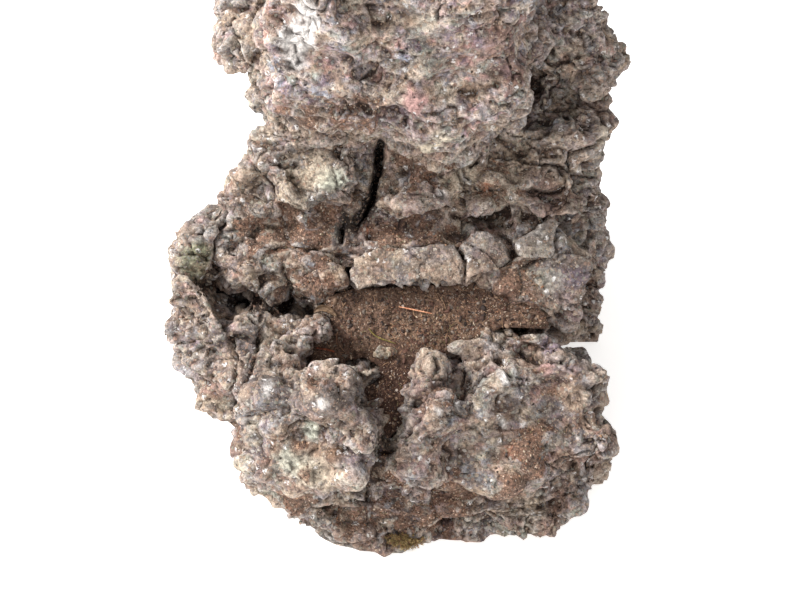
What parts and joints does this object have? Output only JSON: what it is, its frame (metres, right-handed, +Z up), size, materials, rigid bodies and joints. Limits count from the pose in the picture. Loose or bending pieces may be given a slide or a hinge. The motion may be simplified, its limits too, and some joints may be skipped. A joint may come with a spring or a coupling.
{
  "type": "viewing stone",
  "caption": "Rugged viewing stone with a leaning peak over stepped ledges, a soil-filled basin and two front lobes, standing on a flat cut base.",
  "frame": {"origin": "on the flat cut base, straight below the middle of the basin", "axes": "+Z up, the front with its two lobes towards -Y, +X to the right seen from the front"},
  "size_m": [0.2689, 0.2838, 0.3047],
  "materials": {
    "stone": "rough weathered breccia, matt, with earthy dust in the hollows",
    "soil": null,
    "pebble": "matt weathered chip",
    "moss": null,
    "needle_light": "dry pine needle, satin",
    "needle_olive": "old pine needle, matt",
    "twig": "red-brown twig, matt",
    "dry_leaf": "curled dry leaf, matt"
  },
  "bodies": {
    "root": {"stone": "stone", "soil": "soil", "pebble": "pebble", "moss": "moss", "needle_light": "needle_light", "needle_olive": "needle_olive", "twig": "twig", "dry_leaf": "dry_leaf"}
  },
  "joints": []
}
